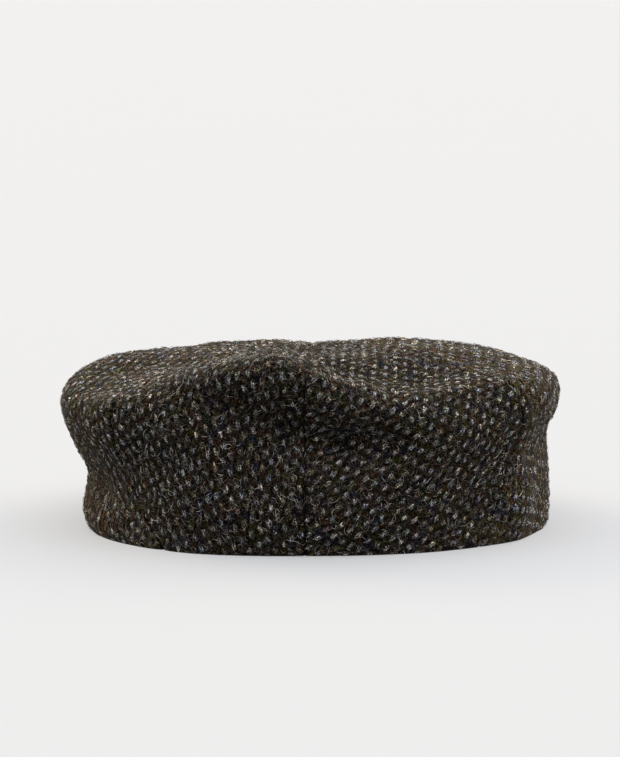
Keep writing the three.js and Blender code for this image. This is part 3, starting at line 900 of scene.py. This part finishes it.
def yarn_blob(n, wool, offset, half_width, half_length):
    """A frayed blob of yarn in every cell of the weave: its mask, and a random number for each."""
    per_cell = (1 / WARP_PITCH, 1 / WEFT_PITCH, 0)
    cells = n.vector("ADD", n.vector("MULTIPLY", wool.frayed, per_cell), offset)
    nearest = n.add("ShaderNodeTexVoronoi", {
        "Vector": cells, "Scale": 1.0, "Randomness": 0.0}, voronoi_dimensions="2D")
    local = n.vector("SUBTRACT", cells, nearest.outputs["Position"])
    local = along_fibres(n, n.vector("MULTIPLY", local, (WARP_PITCH, WEFT_PITCH, 0)))
    local = n.vector("MULTIPLY", local, (1 / half_width, 1 / half_length, 0))
    reach = n.add("ShaderNodeVectorMath", {0: local}, operation="LENGTH").outputs["Value"]
    chance = n.add("ShaderNodeSeparateColor", {0: nearest.outputs["Color"]})
    rough = n.math("MULTIPLY", n.math("SUBTRACT", wool.specks, 0.5), 2.4)
    return n.range(n.math("ADD", reach, rough), 1.5, 0.5), chance.outputs[0]


def stray_hairs(n, wool):
    """Curled single fibres: thin lines along the level lines of a smooth noise, broken up."""
    hair = None
    for size, offset in HAIR_SIZES:
        place = n.vector("ADD", wool.frayed, offset)
        level = n.math("ABSOLUTE", n.math("SUBTRACT", n.noise(place, size, 1), 0.5))
        piece = n.range(n.noise(place, HAIR_LENGTH, 1), 0.46, 0.58)
        line = n.math("MULTIPLY", n.range(level, 0.030, 0.008), piece)
        hair = line if hair is None else n.math("MAXIMUM", hair, line)
    return hair


def total_height(n, parts):
    """The sum of some masks, each times its share of the bump's height."""
    height = None
    for mask, share in parts:
        part = n.math("MULTIPLY", mask, share)
        height = part if height is None else n.math("ADD", height, part)
    return height


def finish_wool(n, wool, colour, height):
    """Gives a wool shader its colour, bump, dullness and soft edge light."""
    bump = n.add("ShaderNodeBump", {"Strength": 1.0, "Distance": 0.6 * MM, "Height": height})
    n.put(n.shader.inputs["Base Color"], n.vector("MULTIPLY", colour, wool.tint))
    n.put(n.shader.inputs["Normal"], bump.outputs[0])
    n.shader.inputs["Roughness"].default_value = 0.95
    n.shader.inputs["Specular IOR Level"].default_value = 0.03
    n.shader.inputs["Sheen Weight"].default_value = 0.08
    n.shader.inputs["Sheen Roughness"].default_value = 0.3
    n.shader.inputs["Sheen Tint"].default_value = (1.0, 0.88, 0.72, 1)
    return n.material


def tweed_material(name, brightness):
    """The cloth between the knots: nearly black ground, dull yarn, a pale haze round each knot, hairs."""
    n = Nodes(name)
    wool = Wool(n)
    edges = n.add("ShaderNodeSeparateXYZ", {0: n.add("ShaderNodeUVMap", uv_map="edges").outputs["UV"]})
    # Painted shade: the cloth is painted darker near a seam, where the seam's groove lies in shade.
    painted_seam_shade = n.range(edges.outputs[0], 0.15 * MM, 1.0 * MM, 0.25, 1.0)
    # brightness scales the cloth; on the panels it is painted light for how well lit each side is.
    shade = n.math("MULTIPLY", painted_seam_shade, brightness)
    tufts = n.range(n.noise(wool.frayed, TUFT_SIZE, 2, 0.55), 0.30, 0.70, 0.3, 1.9)
    nap = n.math("MULTIPLY", tufts, n.math("MULTIPLY", wool.grit, shade))

    dull, dull_kind = yarn_blob(n, wool, (0.5, 0.5, 0), *DULL_SIZE)
    dull_light = n.math("MULTIPLY", n.range(wool.strands, 0.32, 0.68, 0.3, 2.3), nap)
    dull_colour = n.scale(n.ramp(dull_kind, DULL_YARNS, "CONSTANT"), dull_light)
    colour = n.mix(dull, n.scale(GROUND, nap), dull_colour)

    haze, _ = yarn_blob(n, wool, (0, 0, 0), *HAZE_SIZE)
    haze_light = n.math("MULTIPLY", n.range(wool.strands, 0.34, 0.66, 0.2, 1.8), nap)
    colour = n.mix(haze, colour, n.scale(HAZE, haze_light))

    hair = stray_hairs(n, wool)
    hair_kind = n.range(n.noise(wool.flat, HAIR_COLOUR_SIZE, 1), 0.3, 0.7, smooth=False)
    hair_light = n.math("MULTIPLY", n.range(wool.specks, 0.3, 0.7, 0.0, 1.8), shade)
    hair_colour = n.scale(n.ramp(hair_kind, HAIRS), hair_light)
    colour = n.mix(n.math("MULTIPLY", hair, 0.5), colour, hair_colour)

    height = total_height(n, (
        (haze, 0.3), (wool.strands, 0.4), (dull, 0.3), (wool.specks, 0.8), (hair, 0.25)))
    return finish_wool(n, wool, colour, height)


def tone_of(n):
    """The two numbers that each knot or fibre carries: its place among the yarns, and its brightness."""
    tone = n.add("ShaderNodeSeparateXYZ", {0: n.add("ShaderNodeUVMap", uv_map="tone").outputs["UV"]})
    return tone.outputs[0], tone.outputs[1]


def knot_material():
    """The raised knots: one yarn colour each, streaked along its fibres, torn and crossed by hairs."""
    n = Nodes("knot_yarn")
    wool = Wool(n)
    kind, brightness = tone_of(n)
    streaks = n.range(wool.strands, 0.34, 0.66, 0.2, 1.75)
    light = n.math("MULTIPLY", n.math("MULTIPLY", streaks, wool.grit), brightness)
    colour = n.scale(n.ramp(kind, KNOT_YARNS, "CONSTANT"), light)
    torn = n.range(wool.specks, 0.45, 0.34)
    colour = n.mix(torn, colour, n.scale(HAZE, light))
    hair = n.math("MULTIPLY", stray_hairs(n, wool), 0.35)
    colour = n.mix(hair, colour, n.scale(HAIRS[0][1], light))
    height = total_height(n, ((wool.strands, 0.6), (wool.specks, 0.8)))
    return finish_wool(n, wool, colour, height)


def fibre_material():
    """Loose wool: mostly dim, a few fibres bright, and patchy over the cap."""
    n = Nodes("loose_wool")
    kind, brightness = tone_of(n)
    place = n.add("ShaderNodeTexCoord").outputs["Object"]
    patchy = n.range(n.noise(place, 9 * MM, 1), 0.3, 0.7, 0.7, 1.25)
    strength = n.math("MULTIPLY", n.math("POWER", brightness, 4.0), 2.7)
    strength = n.math("MULTIPLY", n.math("ADD", strength, 0.05), patchy)
    n.put(n.shader.inputs["Base Color"], n.scale(n.ramp(kind, LOOSE_WOOL, "CONSTANT"), strength))
    n.shader.inputs["Roughness"].default_value = 0.8
    n.shader.inputs["Specular IOR Level"].default_value = 0.15
    return n.material


def stage_material():
    """The pale floor, lit a little from within so that it stays as pale as the backdrop."""
    n = Nodes("pale_floor")
    place = n.add("ShaderNodeTexCoord").outputs["Object"]
    grain = n.range(n.noise(place, 1 / 3), 0.3, 0.7, 0.997, 1.003)
    n.put(n.shader.inputs["Base Color"], n.scale(FLOOR, grain))
    n.shader.inputs["Roughness"].default_value = 0.9
    n.shader.inputs["Emission Color"].default_value = (1, 1, 1, 1)
    n.shader.inputs["Emission Strength"].default_value = FLOOR_GLOW
    return n.material


# ------------------------------------------------------------------ the cap
def make_cap():
    """The panels and the peak, each with its knots and its loose wool."""
    rng = np.random.default_rng(SEED)
    wool = fibre_material()
    yarn = knot_material()
    for seam, (node, values) in enumerate(PANELS.items()):
        # tone, like the cloth's brightness, is painted light for how well lit each panel is.
        fibres, _, tone = values[3:]
        cloth = make_panel(seam, node)
        make_knots(node.replace("panel", "knots"), *cloth, tone, yarn, rng)
        make_fibres(node.replace("panel", "fuzz"), *cloth[:2], fibres, wool, rng)
    faces = make_peak(tweed_material("peak_tweed", PEAK["brightness"]))
    for side, cloth in zip(("top", "under"), faces):
        make_knots("knots_peak_" + side, *cloth, PEAK["brightness"], yarn, rng)
        make_fibres("fuzz_peak_" + side, *cloth[:2], PEAK["fibres"], wool, rng)


# ------------------------------------------------------------------ floor, light and camera
def make_stage():
    floor = bmesh.new()
    bmesh.ops.create_grid(floor, x_segments=1, y_segments=1, size=40)
    stage = object_from(floor, "floor", stage_material())
    stage.visible_diffuse = False


def soft_sun(name, azimuth, elevation, width, strength, colour):
    """A very wide distant light, as from a large softbox."""
    light = bpy.data.lights.new(name, "SUN")
    light.angle = math.radians(width)
    light.energy = strength
    light.color = colour
    lamp = bpy.data.objects.new(name, light)
    turn, rise = math.radians(azimuth), math.radians(elevation)
    toward = Vector((math.sin(turn) * math.cos(rise), -math.cos(turn) * math.cos(rise), math.sin(rise)))
    lamp.rotation_euler = (-toward).to_track_quat("-Z", "Y").to_euler()
    lamp.location = toward * 3
    bpy.context.scene.collection.objects.link(lamp)


def make_lights():
    """A dim even sky and the suns."""
    world = bpy.data.worlds.new("studio")
    world.use_nodes = True
    tree = world.node_tree
    direction = tree.nodes.new("ShaderNodeTexCoord")
    split = tree.nodes.new("ShaderNodeSeparateXYZ")
    sky = tree.nodes.new("ShaderNodeValToRGB")
    tree.links.new(direction.outputs["Generated"], split.inputs[0])
    tree.links.new(split.outputs[2], sky.inputs[0])
    tree.links.new(sky.outputs[0], tree.nodes["Background"].inputs[0])
    for element, (height, light) in zip(sky.color_ramp.elements, SKY):
        element.position = height
        element.color = (light, light, light, 1)
    bpy.context.scene.world = world
    for name, values in SUNS.items():
        soft_sun(name, *values)
    bpy.context.scene.view_settings.view_transform = "Standard"


def make_camera():
    """A long lens behind the cap, a little above the floor."""
    rise = math.radians(CAMERA_RISE)
    lens = bpy.data.cameras.new("camera")
    lens.sensor_width = 36
    lens.lens = CAMERA_LENS
    camera = bpy.data.objects.new("camera", lens)
    camera.location = AIM + Vector((0, -math.cos(rise), math.sin(rise))) * CAMERA_DISTANCE
    camera.rotation_euler = (AIM - camera.location).to_track_quat("-Z", "Y").to_euler()
    lens.clip_start = 0.05
    lens.clip_end = 20
    bpy.context.scene.collection.objects.link(camera)
    bpy.context.scene.camera = camera


make_camera()
make_cap()
make_stage()
make_lights()
